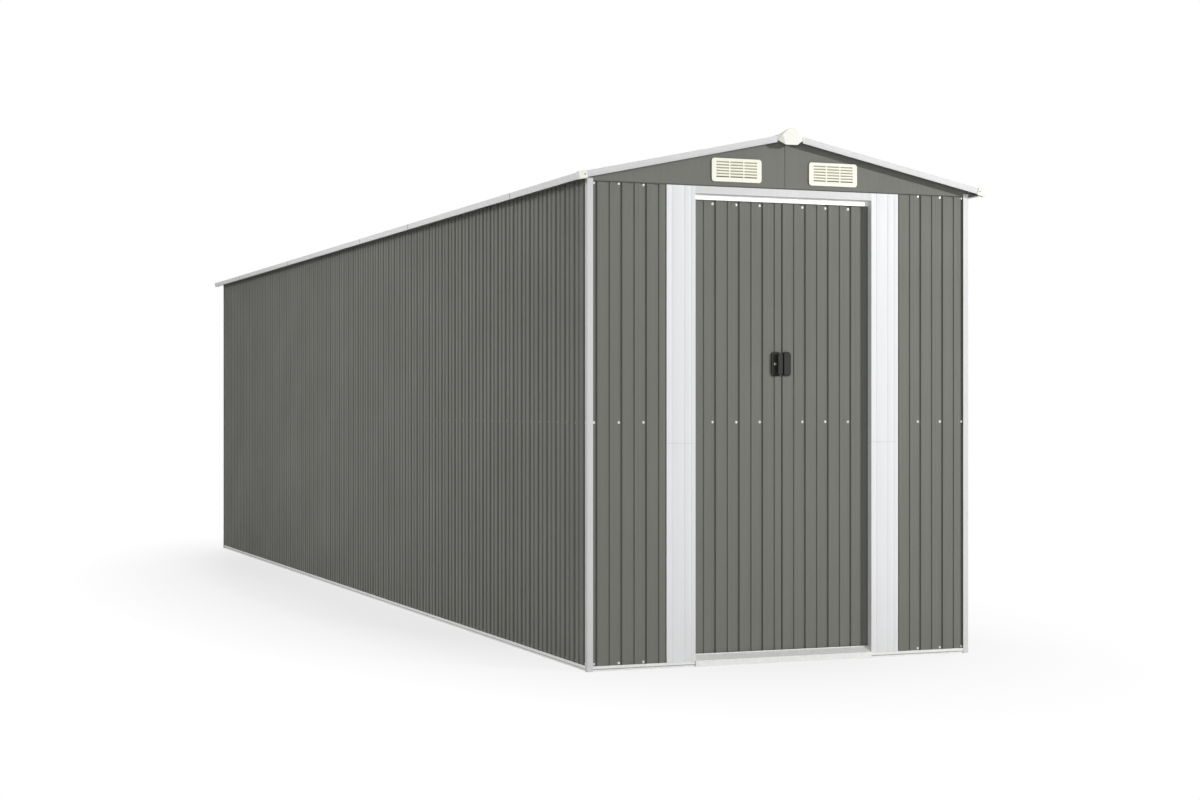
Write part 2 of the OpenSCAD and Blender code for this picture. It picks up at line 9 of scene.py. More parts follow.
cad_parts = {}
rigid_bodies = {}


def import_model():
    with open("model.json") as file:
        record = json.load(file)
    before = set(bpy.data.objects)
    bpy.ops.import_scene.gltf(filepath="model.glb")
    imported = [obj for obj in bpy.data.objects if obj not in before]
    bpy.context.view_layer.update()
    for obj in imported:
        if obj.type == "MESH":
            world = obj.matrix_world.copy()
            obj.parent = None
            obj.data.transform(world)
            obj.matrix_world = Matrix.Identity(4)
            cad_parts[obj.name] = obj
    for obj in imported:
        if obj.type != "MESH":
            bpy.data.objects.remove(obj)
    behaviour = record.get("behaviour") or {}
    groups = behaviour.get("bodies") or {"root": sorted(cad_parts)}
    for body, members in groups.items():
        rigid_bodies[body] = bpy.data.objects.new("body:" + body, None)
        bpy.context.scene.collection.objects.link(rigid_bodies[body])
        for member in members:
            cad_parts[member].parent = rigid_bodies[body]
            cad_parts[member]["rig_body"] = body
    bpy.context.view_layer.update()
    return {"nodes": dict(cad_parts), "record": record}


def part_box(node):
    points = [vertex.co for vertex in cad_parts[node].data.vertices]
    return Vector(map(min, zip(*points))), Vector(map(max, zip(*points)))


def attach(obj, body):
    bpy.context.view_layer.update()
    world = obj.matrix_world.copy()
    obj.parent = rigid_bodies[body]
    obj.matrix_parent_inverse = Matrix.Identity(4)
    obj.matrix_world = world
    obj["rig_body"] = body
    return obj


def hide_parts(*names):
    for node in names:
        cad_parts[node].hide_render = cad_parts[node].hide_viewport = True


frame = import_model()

scene = bpy.context.scene
scene.view_settings.view_transform = "Standard"
nodes_by_name = frame["nodes"]
slot_of_node = {entry["node"]: entry["material_slot"] for entry in frame["record"]["subparts"]}

MM = 0.001
FRONT, REAR = Vector((0, -1, 0)), Vector((0, 1, 0))
HANDS = (("left", -1), ("right", 1))

# Where the wall faces are, read from the corner trims
wall_low, wall_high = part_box("front_corner_trims")
HALF_W, HALF_D, WALL_H = -wall_low.x, -wall_low.y, wall_high.z

# The grooved sheets, as in the part's source
RIB_PITCH = 108.3 * MM
GROOVE_DEPTH = 7.5 * MM
SHEET_FACE = 3.5 * MM  # how far the walls' flats lie behind the corner trims' faces
LEAF_FACE = 38 * MM  # the same for the doors
LONG_GROOVES = 70  # deep grooves along a side wall, and along a roof slope
ROOF_PITCH = math.radians(12)
ROOF_HALF_D = HALF_D + 45.5 * MM
ROOF_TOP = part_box("ridge_cap")[1].z - 1.73 * MM  # where the flats of the slopes would meet

# Heights of the bolt rows
MID_ROW = 1.004
WALL_ROWS = (29 * MM, MID_ROW, WALL_H - 18 * MM)
DOOR_ROWS = (MID_ROW, 1.909)


# Finishes

def srgb(red, green, blue):
    """Linear colour of a paint chip that is read off as 0 to 255."""
    def linear(value):
        value /= 255
        return value / 12.92 if value <= 0.04045 else ((value + 0.055) / 1.055) ** 2.4
    return linear(red), linear(green), linear(blue), 1.0


class Finish:
    """A procedural finish on the pieces' own Object coordinates."""

    def __init__(self, name, roughness, metallic=0.0, specular=0.5):
        self.material = bpy.data.materials.new(name)
        self.material.use_nodes = True
        self.tree = self.material.node_tree
        self.shader = self.tree.nodes["Principled BSDF"]
        self.shader.inputs["Roughness"].default_value = roughness
        self.shader.inputs["Metallic"].default_value = metallic
        self.shader.inputs["Specular IOR Level"].default_value = specular
        self.place = self.node("ShaderNodeTexCoord").outputs["Object"]

    def node(self, kind, **values):
        made = self.tree.nodes.new(kind)
        for key, value in values.items():
            setattr(made, key, value)
        return made

    def link(self, source, target):
        self.tree.links.new(source, target)

    def stretched(self, scale):
        mapping = self.node("ShaderNodeMapping")
        mapping.inputs["Scale"].default_value = scale
        self.link(self.place, mapping.inputs["Vector"])
        return mapping.outputs["Vector"]

    def noise(self, scale, detail, stretch=(1, 1, 1)):
        grain = self.node("ShaderNodeTexNoise")
        grain.inputs["Scale"].default_value = scale
        grain.inputs["Detail"].default_value = detail
        self.link(self.stretched(stretch), grain.inputs["Vector"])
        return grain.outputs["Fac"]

    def cells(self, scale):
        spangle = self.node("ShaderNodeTexVoronoi")
        spangle.inputs["Scale"].default_value = scale
        self.link(self.place, spangle.inputs["Vector"])
        return spangle

    def spread(self, source, low, high, source_low=0.3, source_high=0.7):
        """Stretches one range of values over another; noise keeps mostly to 0.3 to 0.7."""
        span = self.node("ShaderNodeMapRange")
        self.link(source, span.inputs["Value"])
        for key, value in (
            ("From Min", source_low), ("From Max", source_high), ("To Min", low), ("To Max", high),
        ):
            span.inputs[key].default_value = value
        return span.outputs["Result"]

    def along(self, axis):
        parts = self.node("ShaderNodeSeparateXYZ")
        self.link(self.place, parts.inputs["Vector"])
        return parts.outputs[axis]

    def near(self, source, value, reach):
        """1 within reach of a value, 0 elsewhere."""
        test = self.node("ShaderNodeMath", operation="COMPARE")
        self.link(source, test.inputs[0])
        test.inputs[1].default_value = value
        test.inputs[2].default_value = reach
        return test.outputs["Value"]

    def product(self, first, second):
        times = self.node("ShaderNodeMath", operation="MULTIPLY")
        self.link(first, times.inputs[0])
        self.link(second, times.inputs[1])
        return times.outputs["Value"]

    def blend(self, factor, first, second):
        """Colour between two colours or sockets."""
        mix = self.node("ShaderNodeMix", data_type="RGBA")
        self.link(factor, mix.inputs["Factor"])
        for socket, value in ((mix.inputs[6], first), (mix.inputs[7], second)):
            if isinstance(value, tuple):
                socket.default_value = value
            else:
                self.link(value, socket)
        return mix.outputs[2]

    def colour(self, socket):
        self.link(socket, self.shader.inputs["Base Color"])

    def roughness(self, socket):
        self.link(socket, self.shader.inputs["Roughness"])

    def relief(self, socket, strength, distance):
        bump = self.node("ShaderNodeBump")
        bump.inputs["Strength"].default_value = strength
        bump.inputs["Distance"].default_value = distance
        self.link(socket, bump.inputs["Height"])
        self.link(bump.outputs["Normal"], self.shader.inputs["Normal"])


DUST_SHARE, DUST_TOP = 0.35, 0.4  # most dust at the floor, none above this height
# Painted shade: a dark band just above a sheet's folded lower hem
HEM_SHADE, HEM_SHARE = srgb(58, 59, 55), 0.8
HEM_FROM, HEM_TO = 3 * MM, 6 * MM  # above a sheet's lower edge
# Painted shade: a dark line along the base rails' folded step
FOLD_SHADE, FOLD_REACH = srgb(150, 150, 149), 1.8 * MM


def paint(name, pale, deep, dust, rough, specular, hem=None):
    """Baked paint on sheet steel: roller streaks, mottling, orange peel and dust low down.

    A hem is the height of a sheet's lower edge, along which the colour is darkened as painted
    shade of the fold.
    """
    finish = Finish(name, rough[0], specular=specular)
    streaks = finish.noise(scale=70, detail=3, stretch=(1, 1, 0.03))
    mottling = finish.noise(scale=2.3, detail=4)
    toned = finish.blend(finish.spread(streaks, 0, 1), pale, deep)
    toned = finish.blend(finish.spread(mottling, 0, 0.35), toned, deep)
    height = finish.along("Z")
    low = finish.spread(height, DUST_SHARE, 0.0, 0.0, DUST_TOP)
    dusty = finish.product(low, finish.spread(finish.noise(scale=9, detail=5), 0, 1))
    painted = finish.blend(dusty, toned, dust)
    if hem is not None:
        # Painted shade along the hem
        fold = finish.spread(height, HEM_SHARE, 0.0, hem + HEM_FROM, hem + HEM_TO)
        painted = finish.blend(fold, painted, HEM_SHADE)
    finish.colour(painted)
    finish.roughness(finish.spread(mottling, *rough))
    finish.relief(finish.noise(scale=850, detail=2), strength=0.12, distance=0.4 * MM)
    return finish.material


def zinc(name, pale, deep, rough, metallic, line=None):
    """Hot-dip zinc: crystals of slightly different tone and gloss.

    A line is the height of a fold, along which the colour is darkened as painted shade of its
    step.
    """
    finish = Finish(name, rough[0], metallic=metallic)
    spangle = finish.cells(scale=85)
    grain = finish.node("ShaderNodeSeparateColor")
    finish.link(spangle.outputs["Color"], grain.inputs["Color"])
    toned = finish.blend(finish.spread(grain.outputs["Red"], 0, 1, 0, 1), pale, deep)
    stains = finish.spread(finish.noise(scale=14, detail=5), 0, 0.4)
    toned = finish.blend(stains, toned, deep)
    if line is not None:
        # Painted shade along the fold
        toned = finish.blend(finish.near(finish.along("Z"), line, FOLD_REACH), toned, FOLD_SHADE)
    finish.colour(toned)
    finish.roughness(finish.spread(grain.outputs["Green"], *rough, 0, 1))
    finish.relief(spangle.outputs["Distance"], strength=0.08, distance=0.5 * MM)
    return finish.material


def moulded(name, pale, deep, rough, grain_scale, grain_depth, specular=0.4):
    """Moulded plastic with a fine grain and slow colour drift."""
    finish = Finish(name, rough[0], specular=specular)
    drift = finish.noise(scale=6, detail=3)
    grain = finish.noise(grain_scale, detail=3)
    toned = finish.blend(finish.spread(drift, 0, 1), pale, deep)
    finish.colour(finish.blend(finish.spread(grain, 0, 0.4), toned, deep))
    finish.roughness(finish.spread(grain, *rough))
    finish.relief(grain, strength=0.25, distance=grain_depth)
    return finish.material


SLOT_FROM, SLOT_TO = 3.2 * MM, 1.2 * MM  # painted shade deepens between these, out from the wall's face
ROW_BLUR = 1.5 * MM


def louvres(name, pale, deep, slot_shade, low_row_shade, rough, grain_scale, grain_depth, row_top):
    """Moulding with painted shade in its slots below the face, darkest in the row below row_top.
    """
    finish = Finish(name, rough[0], specular=0.4)
    grain = finish.noise(grain_scale, detail=3)
    drift = finish.noise(scale=6, detail=3)
    toned = finish.blend(finish.spread(drift, 0, 1), pale, deep)
    outward = finish.node("ShaderNodeMath", operation="ABSOLUTE")
    finish.link(finish.along("Y"), outward.inputs[0])
    inside = finish.spread(outward.outputs["Value"], 0, 1, HALF_D + SLOT_FROM, HALF_D + SLOT_TO)
    lowest = finish.spread(finish.along("Z"), 1, 0, row_top - ROW_BLUR, row_top + ROW_BLUR)
    # Painted shade: slots darken with depth, the lowest row most
    finish.colour(finish.blend(inside, toned, finish.blend(lowest, slot_shade, low_row_shade)))
    finish.roughness(finish.spread(grain, *rough))
    finish.relief(grain, strength=0.25, distance=grain_depth)
    return finish.material


GREY_PAINT = {
    "pale": srgb(118, 119, 113), "deep": srgb(114, 115, 109), "dust": srgb(126, 125, 118),
    "rough": (0.5, 0.62), "specular": 0.15,
}
WHITE_GLOSS = {"rough": (0.4, 0.5), "specular": 0.3}
RAIL_GLOSS = {"rough": (0.45, 0.6), "metallic": 0.2}
FINE_GRAIN = {"rough": (0.42, 0.55), "grain_scale": 900, "grain_depth": 0.3 * MM}
COARSE_GRAIN = {"rough": (0.5, 0.68), "grain_scale": 520, "grain_depth": 0.6 * MM}
BASE_FOLD = 9 * MM
LOWEST_ROW = 0.295  # the top of a vent's lowest row of slots, as a share of its height
vent_low, vent_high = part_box("front_vents")

FINISHES = {
    "grey_sheet": paint("baked_grey_paint", **GREY_PAINT),
    "white_trim": paint("baked_white_paint", srgb(231, 232, 234), srgb(227, 228, 230),
                        srgb(218, 215, 209), **WHITE_GLOSS),
    "zinc_steel": zinc("galvanised_zinc", srgb(238, 238, 237), srgb(229, 229, 228),
                       rough=(0.42, 0.6), metallic=0.2),
    "ivory_plastic": moulded("ivory_moulding", srgb(250, 250, 236), srgb(245, 245, 230),
                             **FINE_GRAIN),
    "black_plastic": moulded("black_moulding", srgb(42, 42, 40), srgb(34, 34, 32),
                             **COARSE_GRAIN, specular=0.25),
}
# The gables carry painted shade along their lower hem
gable_grey = paint("baked_gable_grey", **GREY_PAINT, hem=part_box("front_gable_panels")[0].z)
# A darker copy of the trim white: painted shade on the corner, verge, header and ridge trims
shaded_edge_white = paint("baked_edge_white", srgb(216, 216, 217), srgb(211, 211, 212),
                   srgb(203, 201, 196), **WHITE_GLOSS)
# A lighter copy of the trim white: painted light on the eave trims
lit_eave_white = paint("baked_eave_white", srgb(238, 238, 238), srgb(233, 233, 233),
                   srgb(222, 219, 212), **WHITE_GLOSS)
lap_grey = paint("eave_lap_grey", srgb(164, 164, 163), srgb(156, 156, 155),
                 srgb(150, 148, 143), **WHITE_GLOSS)
# The base rails carry painted shade along their fold
base_zinc = zinc("base_rail_zinc", srgb(232, 232, 231), srgb(223, 223, 222), **RAIL_GLOSS,
                 line=BASE_FOLD)
side_rail_zinc = zinc("side_rail_zinc", srgb(244, 244, 243), srgb(237, 237, 236), **RAIL_GLOSS,
                      line=BASE_FOLD)
sill_zinc = zinc("sill_zinc", srgb(232, 232, 231), srgb(223, 223, 222), **RAIL_GLOSS)
frame_zinc = zinc("frame_zinc", srgb(172, 172, 170), srgb(154, 154, 152),
                  rough=(0.42, 0.58), metallic=0.4)
plated = zinc("bolt_plating", srgb(240, 240, 239), srgb(222, 222, 221),
              rough=(0.3, 0.45), metallic=0.15)
lock_plated = zinc("lock_plating", srgb(178, 178, 176), srgb(150, 150, 148),
                   rough=(0.32, 0.45), metallic=0.4)
screw_steel = zinc("dark_screw_steel", srgb(112, 112, 110), srgb(84, 84, 82),
                   rough=(0.4, 0.55), metallic=0.4)
# The last two colours are painted shade in the slots and in their lowest row
louvred = louvres("louvre_moulding", srgb(247, 247, 232), srgb(242, 242, 226),
                  srgb(178, 172, 146), srgb(104, 101, 92), **FINE_GRAIN,
                  row_top=vent_low.z + LOWEST_ROW * (vent_high.z - vent_low.z))
cap_white = moulded("cap_moulding", srgb(243, 243, 235), srgb(237, 237, 228), **FINE_GRAIN)

# Nodes that keep their shape but not their slot's finish
FRAME_FINISHES = {
    "front_base_rail": base_zinc, "rear_base_rail": base_zinc, "side_base_rails": side_rail_zinc,
}
FRAME_FINISHES.update((name, frame_zinc) for name in (
    "ridge_beam", "roof_purlins", "front_mid_rails", "side_mid_rails", "rear_mid_rail",
    "front_top_rail", "side_top_rails", "rear_top_rail", "left_door_stiles", "right_door_stiles",
    "left_door_rails", "right_door_rails",
))


# Pieces

SHARP_TURN = math.radians(40)
FLAT_TURN = math.radians(0.5)
WELD = 0.002 * MM


def piece(name, shape, body, slot, material=None):
    """Makes a finished piece from a bmesh, which rides on a body and takes a slot's finish."""
    for edge in shape.edges:
        edge.smooth = not (edge.is_manifold and edge.calc_face_angle() > SHARP_TURN)
    for face in shape.faces:
        face.smooth = True
    mesh = bpy.data.meshes.new(name)
    shape.to_mesh(mesh)
    shape.free()
    made = bpy.data.objects.new(name, mesh)
    scene.collection.objects.link(made)
    made.data.materials.append(material or FINISHES[slot])
    even = made.modifiers.new("even_shading", "WEIGHTED_NORMAL")
    even.keep_sharp = True
    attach(made, body)
    return made


def joined_solid(node):
    """A merged copy of a CAD node with its flat faces whole."""
    shape = bmesh.new()
    shape.from_mesh(nodes_by_name[node].data)
    bmesh.ops.remove_doubles(shape, verts=shape.verts, dist=WELD)
    bmesh.ops.dissolve_limit(shape, angle_limit=FLAT_TURN, verts=shape.verts, edges=shape.edges)
    return shape


def rounded(shape, radius, segments=2, least=25, most=181, longer=0.0):
    """Rounds the edges over a length that turn between two angles."""
    edges = [
        edge for edge in shape.edges
        if edge.is_manifold and edge.calc_length() > longer
        and math.radians(least) < edge.calc_face_angle() < math.radians(most)
    ]
    bmesh.ops.bevel(
        shape, geom=edges, offset=radius, offset_type="OFFSET", affect="EDGES", segments=segments,
        profile=0.5, material=-1, clamp_overlap=True,
    )


def softened(node, radius, material=None, before=None, **turns):
    """Stands for a CAD node, with its edges rounded."""
    shape = joined_solid(node)
    if before:
        before(shape)
    rounded(shape, radius, **turns)
    body = nodes_by_name[node]["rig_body"]
    made = piece(node + "_soft", shape, body, slot_of_node[node], material)
    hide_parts(node)


def rounded_bar(centre, size, edge):
    """Straight bar about a centre, with rounded edges."""
    shape = bmesh.new()
    stand = Matrix.Translation(centre) @ Matrix.Diagonal((*size, 1))
    bmesh.ops.create_cube(shape, size=1, matrix=stand)
    rounded(shape, edge)
    return shape


# Heads in tiers: sides, lower and upper radius, foot and depth, in mm
HEX_BOLT = ((12, 6.0, 5.2, 0.0, 1.2), (6, 4.2, 4.2, 1.2, 2.0), (6, 4.2, 3.3, 3.2, 0.7))
DOMED_SCREW = (
    (12, 3.2, 3.04, 0.0, 0.72), (12, 3.04, 2.24, 0.72, 0.72), (12, 2.24, 1.12, 1.44, 0.36),
)


def head(shape, spot, outward, tiers):
    """Stands a bolt or screw head on a face: a dished washer and chamfered hexagon, or a dome."""
    turn = Vector((0, 0, 1)).rotation_difference(outward).to_matrix().to_4x4()
    stand = Matrix.Translation(Vector(spot)) @ turn
    for sides, low, high, foot, depth in tiers:
        bmesh.ops.create_cone(
            shape, cap_ends=True, segments=sides, radius1=low * MM, radius2=high * MM,
            depth=depth * MM, matrix=stand @ Matrix.Translation((0, 0, (foot + depth / 2) * MM)),
        )


def bolt_rows(name, body, spots, outward, material=plated):
    """Hex bolts at spots on one face, as one piece."""
    shape = bmesh.new()
    for spot in spots:
        head(shape, spot, outward, HEX_BOLT)
    piece(name, shape, body, "zinc_steel", material)


# Rolled bends on the grooved sheets: the grooves' long edges, not the cut ends
SHEETS = (
    "front_wall_left", "front_wall_right", "left_wall_panels", "right_wall_panels",
    "rear_wall_panels", "left_roof_panels", "right_roof_panels", "left_door_panel",
    "right_door_panel",
)
SHEET_BEND = 1.2 * MM
SHORTEST_BEND = 0.3
for node in SHEETS:
    softened(node, SHEET_BEND, least=40, most=85, longer=SHORTEST_BEND)

# Pressed trims and gables with small bend radii
TRIM_BEND = 0.5 * MM
for node, material in (
    ("left_jamb_trim", None), ("right_jamb_trim", None), ("threshold_ramp", sill_zinc),
    ("front_corner_trims", shaded_edge_white), ("rear_corner_trims", shaded_edge_white),
    ("door_header", shaded_edge_white), ("ridge_cap", shaded_edge_white), ("eave_trims", lit_eave_white),
    ("front_gable_panels", gable_grey), ("rear_gable_panels", gable_grey),
):
    softened(node, TRIM_BEND, material)

VERGE_GAP, VERGE_END = 0.4 * MM, 8 * MM


def trimmed_to_cap(shape):
    """Cuts the upper ends of the verge trims plumb, so that they close up to the end caps."""
    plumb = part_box("ridge_end_caps")[1].x + VERGE_GAP
    for vert in shape.verts:
        over = abs(vert.co.x) - plumb
        if over < VERGE_END:
            vert.co.x -= math.copysign(over, vert.co.x)
            vert.co.z += over * math.tan(ROOF_PITCH)


for node in ("front_verge_trims", "rear_verge_trims"):
    softened(node, TRIM_BEND, shaded_edge_white, before=trimmed_to_cap)

# Moulded caps and vents
softened("ridge_end_caps", 6 * MM, cap_white, segments=4, least=12)
softened("eave_corner_caps", 1.2 * MM, cap_white, segments=3)
for node in ("front_vents", "rear_vents"):
    softened(node, TRIM_BEND, louvred)


def rounded_outline(width, height, corner, steps=6):
    """Points of a rounded rectangle about the origin."""
    points = []
    for quarter, (x_way, z_way) in enumerate(((1, 1), (-1, 1), (-1, -1), (1, -1))):
        for i in range(steps + 1):
            turn = math.radians(90 * (quarter + i / steps))
            points.append((x_way * (width / 2 - corner) + corner * math.cos(turn),
                           z_way * (height / 2 - corner) + corner * math.sin(turn)))
    return points


def skinned(shape, rings):
    """Closes a skin over rings of points."""
    count = len(rings[0])
    for low, high in zip(rings, rings[1:]):
        for i in range(count):
            shape.faces.new((low[i], low[(i + 1) % count], high[(i + 1) % count], high[i]))
    shape.faces.new(rings[0])
    shape.faces.new(rings[-1])


WIDTH_PER_CORNER = 2.2  # keeps a corner's radius under half of a section's width


def lofted(shape, side, back, sections):
    """Skin over rounded sections: inner and outer x, height, corner and distance out, in mm."""
    rings = []
    for inner, outer, height, corner, out in sections:
        width, middle = outer - inner, (inner + outer) / 2
        rings.append([
            shape.verts.new((side * (x + middle) * MM, back.y - out * MM, back.z + z * MM))
            for x, z in rounded_outline(width, height, min(corner, width / WIDTH_PER_CORNER))
        ])
    skinned(shape, rings)


# A handle: a plate with a rolled rim, and a grip with a finger hollow under its lip
INNER, PLATE_OUTER, PLATE_H, PLATE_CORNER = 2.5, 45.5, 103, 15
GRIP_H = 92
PLATE = [
    (INNER + rim, PLATE_OUTER - rim, PLATE_H - 2 * rim, PLATE_CORNER - rim, out)
    for rim, out in ((0, 0), (0, 2), (0.25, 3.2), (0.9, 4.2), (1.8, 4.8), (3.0, 5.0))
]
GRIP = [
    (INNER, outer, GRIP_H, corner, out)
    for outer, corner, out in (
        (15.0, 6, 4.6), (13.8, 6, 8), (13.5, 6, 11), (14.4, 6, 15), (16.4, 6, 18), (19.8, 7, 20.4),
        (23.0, 7, 21.4),
    )
] + [
    (2.6, 24.3, GRIP_H, 7, 22.2), (3.0, 24.3, 91.4, 7, 22.9), (4.0, 23.4, 89.6, 6, 23.6),
    (5.6, 21.8, 86.4, 5, 24),
]
for hand, side in HANDS:
    node = hand + "_door_handle"
    low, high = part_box(node)
    shape = bmesh.new()
    for sections in (PLATE, GRIP):
        lofted(shape, side, Vector((0, high.y, (low.z + high.z) / 2)), sections)
    bmesh.ops.recalc_face_normals(shape, faces=shape.faces)
    made = piece(node + "_moulded", shape, nodes_by_name[node]["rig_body"], "black_plastic")
    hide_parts(node)

# The lock, with a black bar across its barrel as painted shade of the key slot
softened("left_door_lock", 0.6 * MM, lock_plated)
KEYWAY_SHADE = (1.3 * MM, 0.5 * MM, 6.5 * MM)
low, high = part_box("left_door_lock")
keyway_shade = rounded_bar(((low.x + high.x) / 2, low.y, (low.z + high.z) / 2), KEYWAY_SHADE, 0.2 * MM)
piece("left_door_key_slot", keyway_shade, "left_door", "black_plastic")

# Weather strip on the left leaf's meeting edge
STRIP_TO = 1.9 * MM  # past the middle of the doorway
STRIP_BEHIND, STRIP_THICK, STRIP_SHORTER = 3.5 * MM, 2 * MM, 4 * MM
low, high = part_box("left_door_panel")
strip = rounded_bar(
    ((high.x + STRIP_TO) / 2, low.y + STRIP_BEHIND, (low.z + high.z) / 2),
    (STRIP_TO - high.x, STRIP_THICK, high.z - low.z - STRIP_SHORTER), 0.4 * MM,
)
piece("left_door_weather_strip", strip, "left_door", "grey_sheet")

# Every other node keeps its shape and gets its finish
for name, part in nodes_by_name.items():
    part.data.materials.clear()
    part.data.materials.append(FRAME_FINISHES.get(name, FINISHES[slot_of_node[name]]))


# Bolts in the deep grooves, and faint creases on the flats, of the walls, the doors and the roof

# A crease's section in mm: half its foot, half its crown, and how deep the foot sits in the face
CREASE_FOOT, CREASE_CROWN, CREASE_SUNK = 3.2, 1.0, 0.3
CREASE_RISE, FAINT_RISE, LAP_RISE = 0.7, 0.4, 0.5
CREASE_AT, FAINT_AT = 0.2, 0.335  # from a deep groove, as a share of the pitch
CREASE_ENDS = 2 * MM
CREASE_MARGIN = 12 * MM


def groove_lines(first, count):
    """Places of deep grooves at the front's pitch, from the first one's in mm."""
    return [first * MM + i * RIB_PITCH for i in range(count)]


def creases(name, body, runs, outward, slot="grey_sheet", material=None):
    """Low ridges on a face; each run is its foot and top on the face, and how far it rises."""
    shape = bmesh.new()
    for foot, top, rise in runs:
        foot, top = Vector(foot), Vector(top)
        across = (top - foot).normalized().cross(outward)
        section = (
            (-CREASE_FOOT, -CREASE_SUNK), (CREASE_FOOT, -CREASE_SUNK),
            (CREASE_CROWN, rise), (-CREASE_CROWN, rise),
        )
        skinned(shape, [
            [shape.verts.new(spot + across * x * MM + outward * y * MM) for x, y in section]
            for spot in (foot, top)
        ])
    bmesh.ops.recalc_face_normals(shape, faces=shape.faces)
    piece(name, shape, body, slot, material)


def upright_runs(node, spots):
    """Runs over a sheet's whole height, from (x, y, rise of the crease)."""
    low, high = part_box(node)
    return [
        ((x, y, low.z + CREASE_ENDS), (x, y, high.z - CREASE_ENDS), rise) for x, y, rise in spots
    ]


# The front: each sheet's and leaf's first deep groove in mm, its flats and its bolt rows
for name, body, node, first, inset, rows in (
    ("front_left", "shed", "front_wall_left", -853.5, SHEET_FACE, WALL_ROWS),
    ("front_right", "shed", "front_wall_right", 640.0, SHEET_FACE, WALL_ROWS),
    ("left_door", "left_door", "left_door_panel", -312.6, LEAF_FACE, DOOR_ROWS),
    ("right_door", "right_door", "right_door_panel", 103.1, LEAF_FACE, DOOR_ROWS),
):
    face_y = inset - HALF_D
    lines = groove_lines(first, 3)
    spots = [(x, face_y + GROOVE_DEPTH, z) for z in rows for x in lines]
    bolt_rows(name + "_bolts", body, spots, FRONT)
    spots = [(x - CREASE_AT * RIB_PITCH, face_y, CREASE_RISE) for x in lines]
    if body != "shed":
        spots += [(x + FAINT_AT * RIB_PITCH, face_y, FAINT_RISE) for x in lines]
    low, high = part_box(node)
    spots = [spot for spot in spots if low.x + CREASE_MARGIN < spot[0] < high.x - CREASE_MARGIN]
    creases(name + "_creases", body, upright_runs(node, spots), FRONT)

# The side walls, with a bolt in the foot of each corner trim
SIDE_END_GAP, FIRST_SIDE_GROOVE = 1.4 * MM, 34.7 * MM
CORNER_BOLT_IN, CORNER_BOLT_UP = 12.5 * MM, 30 * MM
side_span = 2 * (HALF_D - SHEET_FACE - GROOVE_DEPTH - SIDE_END_GAP)
side_pitch = side_span / LONG_GROOVES
side_lines = [-side_span / 2 + FIRST_SIDE_GROOVE + i * side_pitch for i in range(LONG_GROOVES)]
side_face = HALF_W - SHEET_FACE
for hand, side in HANDS:
    outward = Vector((side, 0, 0))
    spots = [(side * (side_face - GROOVE_DEPTH), y, z) for z in WALL_ROWS for y in side_lines]
    # The side walls' bolts take the darker frame zinc, a shaded copy of the bolts' plating:
    # painted shade
    bolt_rows(hand + "_wall_bolts", "shed", spots, outward, frame_zinc)
    spots = [
        (side * side_face, y + CREASE_AT * side_pitch, CREASE_RISE) for y in side_lines[:-1]
    ]
    creases(hand + "_wall_creases", "shed", upright_runs(hand + "_wall_panels", spots), outward)
    spots = [(side * HALF_W, end * (HALF_D - CORNER_BOLT_IN), CORNER_BOLT_UP) for end in (-1, 1)]
    bolt_rows("corner_foot_bolts_" + hand, "shed", spots, outward)

# The rear wall
FIRST_REAR_GROOVE = 27.075
rear_lines = [side * x for _, side in HANDS for x in groove_lines(FIRST_REAR_GROOVE, 8)]
rear_face = HALF_D - SHEET_FACE
spots = [(x, rear_face - GROOVE_DEPTH, z) for z in WALL_ROWS for x in rear_lines]
bolt_rows("rear_wall_bolts", "shed", spots, REAR)
spots = [
    (x - math.copysign(CREASE_AT * RIB_PITCH, x), rear_face, CREASE_RISE) for x in rear_lines
]
creases("rear_wall_creases", "shed", upright_runs("rear_wall_panels", spots), REAR)


def on_slope(side, run, lift, y):
    """Point on a roof slope: run down from the ridge, lift square to the sheets' flats."""
    x = run * math.cos(ROOF_PITCH) + lift * math.sin(ROOF_PITCH)
    z = lift * math.cos(ROOF_PITCH) - run * math.sin(ROOF_PITCH)
    return side * x, y, ROOF_TOP + z


# The roof: rows of bolts over the purlins and the top rails, and along the ridge cap
ROOF_ROWS = (490 * MM, 864 * MM)
RIDGE_ROW, RIDGE_CAP_FACE = 56 * MM, 1.7 * MM
CREASE_TOP, CREASE_EAVE_GAP = 66 * MM, 6 * MM
FIRST_ROOF_GROOVE = 0.25  # from a sheet's edge, as a share of the pitch
roof_step = 2 * ROOF_HALF_D / LONG_GROOVES
roof_lines = [ROOF_HALF_D - (i + FIRST_ROOF_GROOVE) * roof_step for i in range(LONG_GROOVES)]
crease_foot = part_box("right_roof_panels")[1].x / math.cos(ROOF_PITCH) - CREASE_EAVE_GAP
for hand, side in HANDS:
    outward = Vector((side * math.sin(ROOF_PITCH), 0, math.cos(ROOF_PITCH)))
    spots = [on_slope(side, run, -GROOVE_DEPTH, y) for run in ROOF_ROWS for y in roof_lines]
    bolt_rows(hand + "_roof_bolts", "shed", spots, outward)
    crease_lines = [y - CREASE_AT * roof_step for y in roof_lines[:-1]]
    runs = [
        (on_slope(side, crease_foot, 0, y), on_slope(side, CREASE_TOP, 0, y), CREASE_RISE)
        for y in crease_lines
    ]
    creases(hand + "_roof_creases", "shed", runs, outward)
    spots = [
        on_slope(side, RIDGE_ROW, RIDGE_CAP_FACE, y + roof_step / 4) for y in roof_lines[2::4]
    ]
    bolt_rows(hand + "_ridge_bolts", "shed", spots, outward)

